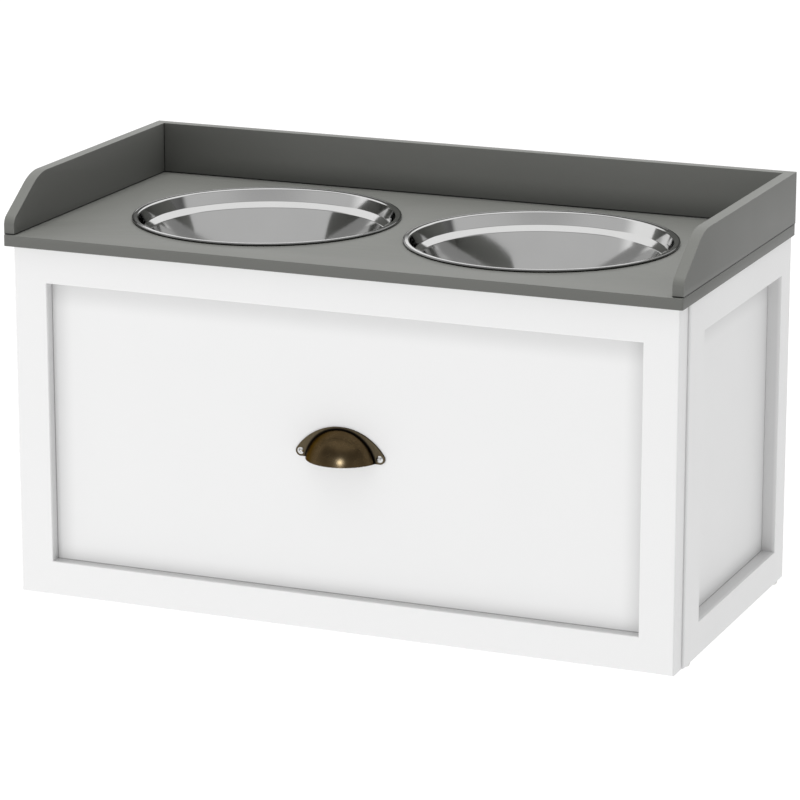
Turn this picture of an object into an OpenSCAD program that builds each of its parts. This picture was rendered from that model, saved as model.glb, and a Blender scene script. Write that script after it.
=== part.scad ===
// Elevated dog feeder with storage: a white frame-and-panel cabinet with one wide drawer on
// roller runners, under a grey top with a low gallery and two lift-out steel bowls.
// Millimetres. The origin is on the floor, in the middle of the footprint, which runs from the
// cup pull's nose to the back edge of the top. +X is to the right, +Y to the back, +Z up.

/* [Top board and gallery] */
// Width of the top board
top_w = 600; // [560:5:700]
// Depth of the top board
top_d = 298; // [290:2:340]
// Thickness of the top board
top_t = 9.5; // [9:0.5:15]
// Rounding of the top board's corners, seen from above
top_corner_r = 2; // [1:0.5:4]
// Height of the gallery above the board
gallery_h = 45; // [32:1:70]
// Thickness of the gallery's three boards
gallery_t = 9.5; // [9:0.5:15]
// Height of the corner between the upright front end of a gallery side and its slope
gallery_foot_h = 13; // [12:1:20]
// Length of the slope that climbs from that corner to the full height
gallery_slope_l = 48; // [40:1:90]
// Radius of the rounding between the front end and the slope
gallery_foot_r = 10; // [4:1:14]
// Radius of the rounding between the slope and the level top edge
gallery_shoulder_r = 46; // [10:1:60]
// Setback of the gallery's front ends from the board's front edge
gallery_setback = 2; // [0:0.5:5]

/* [Cabinet] */
// Overhang of the top board past each side of the cabinet
side_overhang = 3; // [0:0.5:10]
// Height of the cabinet's sides
cab_h = 305; // [280:5:380]
// Thickness of a side frame
side_t = 18; // [17:0.5:22]
// Depth of the recess in front of a side panel
side_recess = 12; // [8:0.5:13]
// Thickness of the tongue round a side panel, and of the side rails' tenons
side_tongue_t = 3; // [2:0.5:4]
// Width of the front stile of a side
stile_front_w = 36.5; // [32:0.5:50]
// Width of the rear stile of a side
stile_rear_w = 25.5; // [25:0.5:40]
// Width of the top rail of a side
side_rail_top_w = 31; // [28:1:45]
// Width of the bottom rail of a side
side_rail_bottom_w = 29.5; // [24:0.5:45]
// Rounding of the frames' outer upright edges
edge_r = 1.5; // [0.5:0.25:3]
// Depth of the grooves that hold the panels and the back
groove_d = 4; // [3:0.5:5]
// Thickness of the bottom board
bottom_t = 15; // [14:0.5:20]
// Thickness of the back panel
back_t = 3; // [2.5:0.5:5]
// Distance from the back edge of the sides to the back panel
back_inset = 10; // [6:0.5:11]
// Thickness of the two stretcher rails under the top board
stretcher_t = 9; // [8:0.5:12]
// Height of the stretcher rails
stretcher_h = 40; // [30:1:50]
// Height of the plastic glides under the corners
foot_h = 3; // [2:0.5:10]
// Diameter of the glides
foot_d = 16; // [10:0.5:17]

/* [Drawer front] */
// Distance that each side of the drawer front stands in from the cabinet's side
front_reveal = 2; // [0.5:0.5:6]
// Thickness of the drawer front's frame
front_t = 20; // [18:0.5:24]
// Depth of the recess in front of the drawer front's panel
front_recess = 10; // [6:0.5:11]
// Thickness of the tongue round the drawer front's panel, and of its rails' tenons
front_tongue_t = 5; // [3:0.5:6]
// Width of the drawer front's stiles and rails
front_frame_w = 30; // [22:1:45]
// Overhang of the top board past the drawer front
front_overhang = 8.5; // [4:0.5:14]
// Gap between the closed drawer front and the cabinet
front_gap = 1; // [0.3:0.1:2]
// Gap between the drawer front and the top board
front_top_gap = 1; // [0.5:0.5:4]

/* [Drawer box] */
// Thickness of the drawer's sides and back
box_t = 12; // [11:0.5:15]
// Thickness of the drawer's bottom
box_bottom_t = 4; // [3:0.5:6]
// Height of the drawer's bottom above the lower edge of its sides
box_bottom_up = 8; // [6:0.5:14]
// Depth of the grooves that hold the drawer's bottom
box_groove_d = 5; // [3:0.5:6]
// Gap between the drawer's back and the cabinet's back panel
box_rear_gap = 6.5; // [3:0.5:20]
// Gap between the drawer's upper edge and the bowls above it
box_top_gap = 11; // [4:1:60]

/* [Roller runners] */
// Space between a drawer side and the cabinet's side, which holds the runner
runner_gap = 12.5; // [12.5:0.25:14]
// Thickness of the runners' steel
runner_steel = 1.2; // [1:0.05:1.25]
// Height of the runner channel's floor above the bottom board
runner_up = 8; // [7:0.5:16]
// Setback of the cabinet runner from the front edge of the cabinet's side
runner_setback = 1; // [0.5:0.5:3]
// Diameter of the rollers
roller_d = 22; // [18:0.5:24]
// Width of the rollers
roller_w = 6; // [5:0.25:6]
// Diameter of the rollers' axles
roller_axle_d = 6; // [4:0.5:7]
// Height by which the front rollers sit below the rear ones
roller_drop = 4; // [3:0.25:5]
// Distance from the end of a runner to its roller's axle
roller_end = 12; // [12:0.5:16]

/* [Bowls] */
// Outer diameter of a bowl's rim
bowl_rim_d = 231; // [200:1:236]
// Gap between the two rims
bowl_gap = 20; // [10:1:30]
// Width of the flat rim outside the bowl's wall
bowl_rim_w = 5.5; // [5:0.5:10]
// Radius of the rolled edge of the rim
bowl_bead_r = 1; // [0.9:0.1:2]
// Depth of a bowl below the top board's surface
bowl_depth = 66; // [50:1:80]
// Thickness of the bowl's steel
bowl_wall = 0.8; // [0.6:0.1:1]
// Depth of the stacking ledge's upper edge below the top board's surface
ledge_down = 12.5; // [10:0.5:18]
// Width of the stacking ledge
ledge_w = 4; // [3:0.5:7]
// Height of the stacking ledge
ledge_h = 3.2; // [3:0.2:6]
// Narrowing of the wall above the ledge
upper_taper = 2; // [1:0.25:3]
// Narrowing of the wall below the ledge
lower_taper = 13.5; // [6:0.5:24]
// Radius between the bowl's wall and its bottom
bowl_corner_r = 14; // [8:1:18]

/* [Cup pull] */
// Distance between the cup pull's two screws
pull_screws = 71; // [64:1:96]
// Radius of the ear round each screw
pull_ear_r = 4.5; // [4:0.25:6]
// Height of the backplate's top above the screws
pull_rise = 23.6; // [20:0.2:30]
// Thickness of the backplate
pull_plate_t = 1.5; // [1:0.25:3]
// Width of the cup at the drawer's panel
cup_w = 63; // [56:0.5:63]
// Height of the cup at the drawer's panel
cup_h = 26.5; // [20:0.5:26.5]
// Projection of the cup's lip from the drawer's panel
cup_out = 25; // [18.5:0.5:31]
// Thickness of the cup's wall
cup_wall = 1.5; // [1:0.25:2.5]
// Distance of the screws below the middle of the drawer front
pull_below_mid = 1; // [0:0.5:40]

/* [Fasteners] */
// Diameter of the wood screws
screw_d = 3.5; // [3:0.25:4]
// Diameter of the screws' heads
screw_head_d = 6; // [5.5:0.25:6.5]
// Height of the screws' heads
screw_head_h = 1.5; // [1.2:0.1:1.5]
// Length of the screws that hold the gallery
gallery_screw_l = 28; // [22:1:34]
// Length of the screws that hold the cabinet runners
runner_screw_l = 13; // [10:0.5:15]
// Length of the screws that hold the drawer's back
back_screw_l = 30; // [24:1:40]
// Distance of the drawer box's fasteners from its upper and lower edges
box_fixing_inset = 45; // [30:1:60]
// Diameter of the cabinet's cam nuts
cam_d = 15; // [12:0.5:16]
// Distance from a joint to the middle of its cam nut in the cabinet
cam_reach = 24; // [20:1:34]
// Diameter of the drawer's cam nuts
small_cam_d = 12; // [10:0.5:13]
// Distance from the drawer front to the middle of its cam nuts
small_cam_reach = 20; // [16:1:28]
// Material left behind the cam nuts
cam_floor = 3; // [2:0.25:4]
// Diameter of the cam bolts' shanks
cam_bolt_d = 4; // [3:0.25:5]
// Depth of the cam bolts' threads in the bottom rails
cam_thread_l = 11; // [8:0.5:13]
// Depth of the cam bolts' threads in the drawer front
small_cam_thread_l = 8; // [6:0.5:8.5]
// Distance of the cam fittings and top brackets from the side's stiles
fixing_inset = 25; // [18:1:60]
// Diameter of the stretchers' dowels
dowel_d = 5; // [4:0.5:6]
// Length of the stretchers' dowels
dowel_l = 20; // [16:1:28]
// Distance of the dowels from the stretchers' upper and lower edges
dowel_inset = 10; // [6:0.5:12]
// Length of each leg of the top brackets
bracket_leg = 18; // [14:0.5:20]
// Width of the top brackets
bracket_w = 15; // [12:0.5:20]
// Thickness of the top brackets
bracket_t = 1.5; // [1:0.25:2]
// Length of the glides' nails
nail_l = 12; // [8:1:18]
// Diameter of the glides' nails
nail_d = 2; // [1.5:0.25:3]

/* [Clearances] */
// Clearance across a tongue, tenon or board in its groove
groove_fit = 0.1; // [0.05:0.05:0.25]
// Clearance at the bottom of a groove, and round the body of a panel
groove_end = 0.4; // [0.2:0.1:0.8]
// Clearance round screws, bolts, dowels, nails and axles
pin_fit = 0.05; // [0.02:0.01:0.1]
// Clearance over and under the rolling surfaces of the runners
roll_fit = 0.2; // [0.1:0.05:0.3]
// Clearance beside the runners' moving faces
side_fit = 1.2; // [0.8:0.1:1.2]
// Clearance under the bowls' rims
bowl_seat = 0.3; // [0.1:0.05:0.4]
// Clearance between a bowl and its cut-out
cutout_gap = 0.7; // [0.4:0.1:1.5]
// Clearance between the bowls and the front stretcher
stretcher_gap = 0.8; // [0.8:0.1:6]

/* [Hidden] */
$fn = 72;

white_paint = "#f1f1ee";
grey_paint = "#81827e";
steel = "#c9cbcc";
zinc = "#b4b8bb";
bronze = "#4b3d2c";
white_board = "#e9e8e4";
plastic = "#dfe0de";
runner_white = "#eceded";
beech = "#d2b48c";

// A cut runs this far past the face that it opens
over = 1;

// Levels, from the floor up
board_z0 = foot_h + cab_h;
board_z = board_z0 + top_t;
floor_z = foot_h + bottom_t;

// Lines from the front to the back
pull_nose = max(0, cup_out - front_recess - front_overhang);
back_y = (top_d + pull_nose) / 2;
top_y = back_y - top_d;
front_y = top_y + front_overhang;
front_back_y = front_y + front_t;
cab_y = front_back_y + front_gap;
cab_d = back_y - cab_y;
back_front_y = back_y - back_inset - back_t;
box_back_y = back_front_y - box_rear_gap;
box_l = box_back_y - front_back_y;

// Lines from the middle to a side
cab_x = top_w / 2 - side_overhang;
inner_x = cab_x - side_t;
box_x = inner_x - runner_gap;
box_in_x = box_x - box_t;
front_x = cab_x - front_reveal;

// Openings of the side frames and of the drawer front
side_open_l = cab_d - stile_front_w - stile_rear_w;
side_open_h = cab_h - side_rail_top_w - side_rail_bottom_w;
front_h = cab_h - front_top_gap;
front_open_w = 2 * (front_x - front_frame_w);
front_open_h = front_h - 2 * front_frame_w;

// Runner: w is the distance from the cabinet's side towards the drawer
roller_r = roller_d / 2;
channel_z = floor_z + runner_up;
channel_h = roller_d + 4 * roll_fit;
rear_axle_z = channel_z + roller_r + roll_fit;
front_axle_z = rear_axle_z - roller_drop;
flange_z = front_axle_z + roller_r + roll_fit;
flange_up = 14;
box_z = flange_z - flange_up;
box_top_z = board_z - bowl_depth - box_top_gap;
box_h = box_top_z - box_z;
roller_w1 = runner_gap - runner_steel - side_fit;
roller_w0 = roller_w1 - roller_w;
axle_gap = 0.1;
axle_head_t = 0.6;
axle_head_d = roller_axle_d + 2;
lip_gap = 0.4;
lip_w1 = roller_w0 - lip_gap;
lip_drop = 3;
runner_y0 = cab_y + runner_setback;
runner_y1 = back_front_y - runner_setback;
front_axle_y = runner_y0 + roller_end;
rear_axle_y = box_back_y - roller_end;
roller_pass = roller_r + 2;
plate_drop = 2;

// Cam bolts: thread, head and the bore that the head passes through
cam_thread_d = cam_bolt_d + 1;
cam_head_d = cam_bolt_d + 1.5;
cam_bore_d = cam_bolt_d + 2;

// Bowls
bowl_r = bowl_rim_d / 2;
bowl_x = bowl_r + bowl_gap / 2;
neck_r = bowl_r - bowl_rim_w;
cutout_r = neck_r + bowl_wall + cutout_gap;
bowl_y = cab_y + stretcher_t + stretcher_gap + neck_r + bowl_wall;
ledge_r = neck_r - upper_taper - ledge_w;
bead_x = bowl_r - bowl_bead_r;
bead_proud = 0.3;
flange_top = 2 * bowl_bead_r - bead_proud;

// Cup pull: its back lies on the drawer front's panel
pull_y = front_y + front_recess;
pull_z = foot_h + front_h / 2 - pull_below_mid;
cup_plan_r = (pow(cup_w / 2, 2) + pow(cup_out, 2)) / (2 * cup_out);
cup_drop = (pow(cup_w / 2, 2) - pow(cup_h, 2)) / (2 * cup_h);
cup_r = norm([cup_plan_r, cup_drop]);
plate_r = (pow(pull_screws / 2, 2) + pow(pull_rise, 2) - pow(pull_ear_r, 2))
    / (2 * (pull_rise - pull_ear_r));

// Points along a circle's arc
function arc(c, r, a0, a1, n) =
    [for (i = [0:n]) c + r * [cos(a0 + (a1 - a0) * i / n), sin(a0 + (a1 - a0) * i / n)]];

function unit(v) = v / norm(v);

// Points of the fillet of radius r at b, between the lines from a and to c
function fillet(a, b, c, r, n) =
    let (
        u = unit(a - b),
        w = unit(c - b),
        half = acos(u * w) / 2,
        m = b + unit(u + w) * r / sin(half),
        p = b + u * r / tan(half) - m,
        q = b + w * r / tan(half) - m,
        a0 = atan2(p.y, p.x),
        turn = (atan2(q.y, q.x) - a0 + 540) % 360 - 180
    )
    arc(m, r, a0, a0 + turn, n);

// The path moved sideways by t, to its right
function beside(path, t) =
    let (last = len(path) - 1)
    [for (i = [0:last])
        let (
            d0 = unit(path[max(i, 1)] - path[max(i, 1) - 1]),
            d1 = unit(path[min(i, last - 1) + 1] - path[min(i, last - 1)]),
            d = unit(d0 + d1)
        )
        path[i] + t * [d.y, -d.x]];

function reversed(list) = [for (i = [len(list) - 1:-1:0]) list[i]];

// Every side piece is drawn on the left and mirrored to the right
module on_side(side) {
    mirror([side > 0 ? 1 : 0, 0, 0]) children();
}

module both_sides() {
    for (side = [-1, 1]) on_side(side) children();
}

// Screw with a flat round head, seat at the origin, pointing down
module pan_screw(l) {
    cylinder(h = screw_head_h, d = screw_head_d);
    translate([0, 0, -l]) cylinder(h = l, d = screw_d);
}

module screw_hole(l) {
    translate([0, 0, -l - groove_end])
        cylinder(h = l + groove_end + over, d = screw_d + 2 * pin_fit);
}

// Countersunk screw, its head flush with the surface at the origin, pointing down
module flush_screw(l) {
    translate([0, 0, -screw_head_h]) cylinder(h = screw_head_h, d1 = screw_d, d2 = screw_head_d);
    translate([0, 0, -l]) cylinder(h = l, d = screw_d);
}

module flush_hole(l) {
    screw_hole(l);
    translate([0, 0, -screw_head_h])
        cylinder(h = screw_head_h, d1 = screw_d + 2 * pin_fit, d2 = screw_head_d + 2 * pin_fit);
}

// Cam bolt along +Z: thread below the joint at the origin, head at the cam's middle
module cam_bolt(thread_l, reach) {
    head_l = 3;
    translate([0, 0, -thread_l]) cylinder(h = thread_l, d = cam_thread_d);
    cylinder(h = reach, d = cam_bolt_d);
    translate([0, 0, reach - head_l]) cylinder(h = head_l, d = cam_head_d);
}

module cam_bolt_hole(thread_l, reach) {
    translate([0, 0, -thread_l - groove_end])
        cylinder(h = thread_l + groove_end, d = cam_thread_d + 2 * pin_fit);
    translate([0, 0, -pin_fit]) cylinder(h = reach, d = cam_bore_d);
}

// Cam nut with its face at the origin and its body below, open to a bolt that comes along +X
module cam_nut(d, h, bolt_down) {
    slot_w = 2;
    slot_d = 1.5;
    slot_l = d * 2 / 3;
    cam_head_gap = 1.5;
    difference() {
        translate([0, 0, -h]) cylinder(h = h, d = d);
        translate([-d, 0, -bolt_down])
            rotate([0, 90, 0]) cylinder(h = d + cam_head_gap, d = cam_bore_d);
        for (turn = [0, 90])
            rotate([0, 0, turn])
                translate([-slot_l / 2, -slot_w / 2, -slot_d]) cube([slot_l, slot_w, slot_d + over]);
    }
}

module cam_nut_hole(d, h) {
    translate([0, 0, -h - groove_fit])
        cylinder(h = h + groove_fit + over, d = d + 2 * pin_fit);
}

// Frame pieces lie with the show face at y = 0, their length along x or z and their back at
// y = t. A stile has its eased outer edge at x = 0 and the panel's groove in the other edge.
module frame_stile(w, h, t, recess, tongue_t) {
    linear_extrude(height = h)
        difference() {
            polygon(concat(arc([edge_r, edge_r], edge_r, 180, 270, 4), [[w, 0], [w, t], [0, t]]));
            translate([w - groove_d, recess]) square([groove_d + over, tongue_t]);
        }
}

// A rail has its outer edge at z = 0, a groove in its upper edge and a tenon at each end
module frame_rail(l, w, t, recess, tongue_t) {
    tenon_l = groove_d - groove_end;
    difference() {
        cube([l, t, w]);
        translate([-over, recess, w - groove_d]) cube([l + 2 * over, tongue_t, groove_d + over]);
    }
    for (x = [-tenon_l, l])
        translate([x, recess, 0]) cube([tenon_l, tongue_t - groove_fit, w - groove_d]);
}

// A panel is flush with the frame's back, with a tongue round its show face
module frame_panel(l, h, t, recess, tongue_t) {
    tongue_l = groove_d - groove_end;
    translate([groove_end, recess, groove_end])
        cube([l - 2 * groove_end, t - recess, h - 2 * groove_end]);
    translate([-tongue_l, recess, -tongue_l])
        cube([l + 2 * tongue_l, tongue_t - groove_fit, h + 2 * tongue_l]);
}

// Top board with two round cut-outs, and the screw holes of the gallery and brackets
module top_board() {
    w = top_w / 2 - top_corner_r;
    y0 = top_y + top_corner_r;
    y1 = back_y - top_corner_r;
    color(grey_paint) difference() {
        translate([0, 0, board_z0]) linear_extrude(height = top_t)
            polygon(concat(
                arc([-w, y0], top_corner_r, 180, 270, 4),
                arc([w, y0], top_corner_r, 270, 360, 4),
                arc([w, y1], top_corner_r, 0, 90, 4),
                arc([-w, y1], top_corner_r, 90, 180, 4)));
        for (x = [-bowl_x, bowl_x])
            translate([x, bowl_y, board_z0 - over]) cylinder(h = top_t + 2 * over, r = cutout_r);
        gallery_screw_places() flush_hole(gallery_screw_l);
        both_sides() bracket_places() bracket_top_screw_place() screw_hole(bracket_top_screw_l);
    }
}

// Side of the gallery: an upright front end, a straight slope and a level top, rounded between
module gallery_outline() {
    foot = [0, gallery_foot_h];
    shoulder = [gallery_slope_l, gallery_h];
    back_top = [top_d - gallery_setback, gallery_h];
    polygon(concat(
        [[0, 0]],
        fillet([0, 0], foot, shoulder, gallery_foot_r, 8),
        fillet(foot, shoulder, back_top, gallery_shoulder_r, 10),
        [back_top, [back_top.x, 0]]));
}

module gallery_side(side) {
    color(grey_paint) on_side(side) difference() {
        translate([-top_w / 2, top_y + gallery_setback, board_z])
            rotate([90, 0, 90]) linear_extrude(height = gallery_t) gallery_outline();
        gallery_screw_places() screw_hole(gallery_screw_l);
    }
}

module gallery_back() {
    w = top_w - 2 * gallery_t;
    color(grey_paint) difference() {
        translate([-w / 2, back_y - gallery_t, board_z]) cube([w, gallery_t, gallery_h]);
        gallery_screw_places() screw_hole(gallery_screw_l);
    }
}

// The screws go up through the top board into the middle of the gallery's edges
module gallery_screw_places() {
    side_x = (top_w - gallery_t) / 2;
    end_inset = 45;
    side_ys = [top_y + gallery_setback + gallery_slope_l, back_y - end_inset];
    for (x = [-side_x, side_x], y = side_ys)
        translate([x, y, board_z0]) rotate([180, 0, 0]) children();
    back_x = side_x - 2 * end_inset;
    for (x = [-back_x, 0, back_x])
        translate([x, back_y - gallery_t / 2, board_z0]) rotate([180, 0, 0]) children();
}

module gallery_screws() {
    color(zinc) gallery_screw_places() flush_screw(gallery_screw_l);
}

// Brackets under the top board, on the top rail of each side
bracket_skin = 2;
bracket_hold = 5;
bracket_top_screw_l = bracket_t + top_t - bracket_skin;
bracket_side_screw_l = bracket_t + side_t - side_recess + bracket_hold;
bracket_hole_at = 0.6 * bracket_leg;

module bracket_places() {
    for (y = [cab_y + stile_front_w + fixing_inset, back_y - stile_rear_w - fixing_inset])
        translate([-inner_x, y, board_z0]) children();
}

module bracket_top_screw_place() {
    translate([bracket_hole_at, 0, -bracket_t]) rotate([180, 0, 0]) children();
}

module bracket_side_screw_place() {
    translate([bracket_t, 0, -bracket_hole_at]) rotate([0, 90, 0]) children();
}

module top_brackets() {
    color(zinc) both_sides() bracket_places() difference() {
        union() {
            translate([0, -bracket_w / 2, -bracket_leg]) cube([bracket_t, bracket_w, bracket_leg]);
            translate([0, -bracket_w / 2, -bracket_t]) cube([bracket_leg, bracket_w, bracket_t]);
        }
        bracket_top_screw_place() screw_hole(bracket_top_screw_l);
        bracket_side_screw_place() screw_hole(bracket_side_screw_l);
    }
}

module bracket_screws() {
    color(zinc) both_sides() bracket_places() {
        bracket_top_screw_place() pan_screw(bracket_top_screw_l);
        bracket_side_screw_place() pan_screw(bracket_side_screw_l);
    }
}

// Everything that goes into a side from the inside or from below
module side_holes() {
    bracket_places() bracket_side_screw_place() screw_hole(bracket_side_screw_l);
    cabinet_cam_places() cam_bolt_hole(cam_thread_l, over);
    cabinet_runner_screw_places() screw_hole(runner_screw_l);
    dowel_places() dowel_hole();
    glide_places() translate([0, 0, foot_h - over])
        cylinder(h = nail_l + over + groove_end, d = nail_d + 2 * pin_fit);
}

// Local x runs from the cabinet's front edge to the back, local y from the outside inwards
module in_side(side) {
    color(white_paint) on_side(side) difference() {
        translate([-cab_x, cab_y, foot_h]) mirror([1, -1, 0]) children();
        side_holes();
    }
}

module side_front_stile(side) {
    in_side(side) frame_stile(stile_front_w, cab_h, side_t, side_recess, side_tongue_t);
}

module side_rear_stile(side) {
    in_side(side) difference() {
        translate([cab_d, 0, 0]) mirror([1, 0, 0])
            frame_stile(stile_rear_w, cab_h, side_t, side_recess, side_tongue_t);
        translate([cab_d - back_inset - back_t, side_t - groove_d, -over])
            cube([back_t + groove_fit, groove_d + over, cab_h + 2 * over]);
    }
}

module side_bottom_rail(side) {
    in_side(side) translate([stile_front_w, 0, 0])
        frame_rail(side_open_l, side_rail_bottom_w, side_t, side_recess, side_tongue_t);
}

module side_top_rail(side) {
    in_side(side) translate([stile_front_w, 0, cab_h]) mirror([0, 0, 1])
        frame_rail(side_open_l, side_rail_top_w, side_t, side_recess, side_tongue_t);
}

module side_panel(side) {
    in_side(side) translate([stile_front_w, 0, side_rail_bottom_w])
        frame_panel(side_open_l, side_open_h, side_t, side_recess, side_tongue_t);
}

// Cam bolts stand out of the sides, into the ends of the bottom board
module cabinet_cam_places() {
    for (y = [cab_y + stile_front_w + fixing_inset, back_y - stile_rear_w - fixing_inset])
        translate([-inner_x, y, foot_h + bottom_t / 2]) rotate([0, 90, 0]) children();
}

module cabinet_cam_bolts() {
    color(zinc) both_sides() cabinet_cam_places() cam_bolt(cam_thread_l, cam_reach);
}

module cabinet_cam_nut_places() {
    cabinet_cam_places() rotate([0, -90, 0])
        translate([cam_reach, 0, -bottom_t / 2]) rotate([180, 0, 0]) children();
}

module cabinet_cam_nuts() {
    color(zinc) both_sides() cabinet_cam_nut_places()
        cam_nut(cam_d, bottom_t - cam_floor, bottom_t / 2);
}

module bottom_board() {
    color(white_board) difference() {
        translate([-inner_x, cab_y, foot_h]) cube([2 * inner_x, cab_d, bottom_t]);
        translate([-inner_x - over, back_front_y, floor_z - groove_d])
            cube([2 * (inner_x + over), back_t + groove_fit, groove_d + over]);
        both_sides() {
            cabinet_cam_places() cam_bolt_hole(cam_thread_l, cam_reach);
            cabinet_cam_nut_places() cam_nut_hole(cam_d, bottom_t - cam_floor);
        }
    }
}

// Thin back, in grooves of the rear stiles and the bottom board
module back_panel() {
    w = inner_x + groove_d - groove_end;
    z = floor_z - groove_d + groove_end;
    color(white_board) translate([-w, back_front_y, z])
        cube([2 * w, back_t, board_z0 - z - groove_end]);
}

module stretcher(y) {
    color(white_board) difference() {
        translate([-inner_x, y, board_z0 - stretcher_h]) cube([2 * inner_x, stretcher_t, stretcher_h]);
        both_sides() dowel_places() dowel_hole();
        both_sides() bowl_room();
    }
}

module dowel_places() {
    ys = [cab_y + stretcher_t / 2, back_front_y - stretcher_t / 2];
    zs = [board_z0 - dowel_inset, board_z0 - stretcher_h + dowel_inset];
    for (y = ys, z = zs) translate([-inner_x, y, z]) rotate([0, 90, 0]) children();
}

module dowel_hole() {
    l = dowel_l + 2 * groove_end;
    translate([0, 0, -l / 2]) cylinder(h = l, d = dowel_d + 2 * pin_fit);
}

module stretcher_dowels() {
    color(beech) both_sides() dowel_places()
        translate([0, 0, -dowel_l / 2]) cylinder(h = dowel_l, d = dowel_d);
}

// Plastic glides, nailed up into the lower ends of the stiles
module glide_places() {
    for (y = [cab_y + stile_front_w / 2, back_y - stile_rear_w / 2])
        translate([-cab_x + side_t / 2, y, 0]) children();
}

module floor_glides() {
    color(plastic) both_sides() glide_places() {
        cylinder(h = foot_h / 2, d1 = foot_d - foot_h / 2, d2 = foot_d);
        translate([0, 0, foot_h / 2]) cylinder(h = foot_h / 2, d = foot_d);
        translate([0, 0, foot_h / 2]) cylinder(h = foot_h / 2 + nail_l, d = nail_d);
    }
}

// Local x runs from the cabinet's side to the drawer, on the left
module from_side() {
    translate([-inner_x, 0, 0]) children();
}

// Cabinet runner: a steel channel that opens to the drawer, with a roller at its front end
module cabinet_runner(side) {
    plate_l = roller_end + roller_pass;
    channel_y0 = front_axle_y + roller_pass;
    flange_w = roller_w1 - pin_fit;
    color(runner_white) on_side(side) from_side() difference() {
        union() {
            translate([0, runner_y0, channel_z - runner_steel])
                cube([runner_steel, runner_y1 - runner_y0, channel_h + 2 * runner_steel]);
            translate([0, runner_y0, front_axle_z - roller_r - plate_drop])
                cube([runner_steel, plate_l, channel_z - front_axle_z + roller_r + plate_drop]);
            for (z = [channel_z - runner_steel, channel_z + channel_h])
                translate([0, channel_y0, z])
                    cube([flange_w, runner_y1 - channel_y0, runner_steel]);
        }
        front_axle_place() axle_hole();
        from_runner_origin() cabinet_runner_screw_places() screw_hole(runner_screw_l);
    }
}

// Turns places that are given in the cabinet's frame into the runner's own
module from_runner_origin() {
    translate([inner_x, 0, 0]) children();
}

module cabinet_runner_screw_places() {
    margin = screw_head_d / 2;
    ys = [
        cab_y + stile_front_w - groove_d - margin - groove_end,
        back_y - stile_rear_w + groove_d + margin + groove_end
    ];
    for (y = ys)
        translate([-inner_x + runner_steel, y, rear_axle_z]) rotate([0, 90, 0]) children();
}

module cabinet_runner_screws() {
    color(zinc) both_sides() cabinet_runner_screw_places() pan_screw(runner_screw_l);
}

module front_axle_place() {
    translate([0, front_axle_y, front_axle_z]) rotate([0, 90, 0]) children();
}

module rear_axle_place() {
    translate([0, rear_axle_y, rear_axle_z]) rotate([0, 90, 0]) children();
}

module axle_hole() {
    translate([0, 0, -over])
        cylinder(h = runner_gap + 2 * over, d = roller_axle_d + 2 * pin_fit);
}

// Riveted axle: from its plate, a shoulder, the roller's seat and a head
module cabinet_runner_axles() {
    color(zinc) both_sides() from_side() front_axle_place() {
        cylinder(h = roller_w1 + axle_gap + axle_head_t, d = roller_axle_d);
        translate([0, 0, runner_steel])
            cylinder(h = roller_w0 - axle_gap - runner_steel, d = axle_head_d);
        translate([0, 0, roller_w1 + axle_gap]) cylinder(h = axle_head_t, d = axle_head_d);
    }
}

module drawer_runner_axles() {
    head_w = roller_w0 - axle_gap - axle_head_t;
    shoulder_w = roller_w1 + axle_gap;
    color(zinc) both_sides() from_side() rear_axle_place() {
        translate([0, 0, head_w]) cylinder(h = runner_gap - head_w, d = roller_axle_d);
        translate([0, 0, head_w]) cylinder(h = axle_head_t, d = axle_head_d);
        translate([0, 0, shoulder_w])
            cylinder(h = runner_gap - runner_steel - shoulder_w, d = axle_head_d);
    }
}

// Nylon roller with a hub, a thin web and a rim
module roller() {
    web_inset = roller_w / 4;
    wall = 2;
    hub_r = roller_axle_d / 2 + wall;
    rim_r = roller_r - wall;
    bore_r = roller_axle_d / 2 + pin_fit;
    ease = 0.5;
    color(plastic) translate([0, 0, roller_w0]) rotate_extrude()
        polygon([
            [bore_r, 0], [hub_r, 0], [hub_r, web_inset], [rim_r, web_inset], [rim_r, 0],
            [roller_r - ease, 0], [roller_r, ease], [roller_r, roller_w - ease],
            [roller_r - ease, roller_w], [rim_r, roller_w], [rim_r, roller_w - web_inset],
            [hub_r, roller_w - web_inset], [hub_r, roller_w], [bore_r, roller_w]
        ]);
}

module front_roller(side) {
    on_side(side) from_side() front_axle_place() roller();
}

module rear_roller(side) {
    on_side(side) from_side() rear_axle_place() roller();
}

// Drawer runner: a folded strip under and beside the drawer's side, whose outward flange rides
// on the front roller. The flange stops short of the rear roller.
module drawer_runner(side) {
    y0 = front_back_y + runner_setback;
    flange_l = rear_axle_y - roller_pass - y0;
    lip_w0 = lip_w1 - runner_steel;
    color(runner_white) on_side(side) from_side() difference() {
        union() {
            translate([runner_gap - runner_steel, y0, box_z - runner_steel])
                cube([runner_steel, box_back_y - y0, flange_up + 2 * runner_steel]);
            translate([runner_gap - runner_steel, y0, box_z - runner_steel])
                cube([runner_steel + box_t, box_back_y - y0, runner_steel]);
            translate([lip_w0, y0, flange_z])
                cube([runner_gap - lip_w0, flange_l, runner_steel]);
            translate([lip_w0, y0, flange_z - lip_drop])
                cube([runner_steel, flange_l, lip_drop + runner_steel]);
        }
        rear_axle_place() axle_hole();
        from_runner_origin() drawer_runner_screw_places() screw_hole(drawer_runner_screw_l);
    }
}

// These screws go up into the lower edge of the drawer's sides
drawer_runner_screw_skin = 1;
drawer_runner_screw_l = runner_steel + box_bottom_up - drawer_runner_screw_skin;

module drawer_runner_screw_places() {
    inset = 40;
    for (y = [front_back_y + inset, box_back_y - inset])
        translate([-box_x + box_t / 2, y, box_z - runner_steel]) rotate([180, 0, 0]) children();
}

module drawer_runner_screws() {
    color(zinc) both_sides() drawer_runner_screw_places() pan_screw(drawer_runner_screw_l);
}

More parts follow.
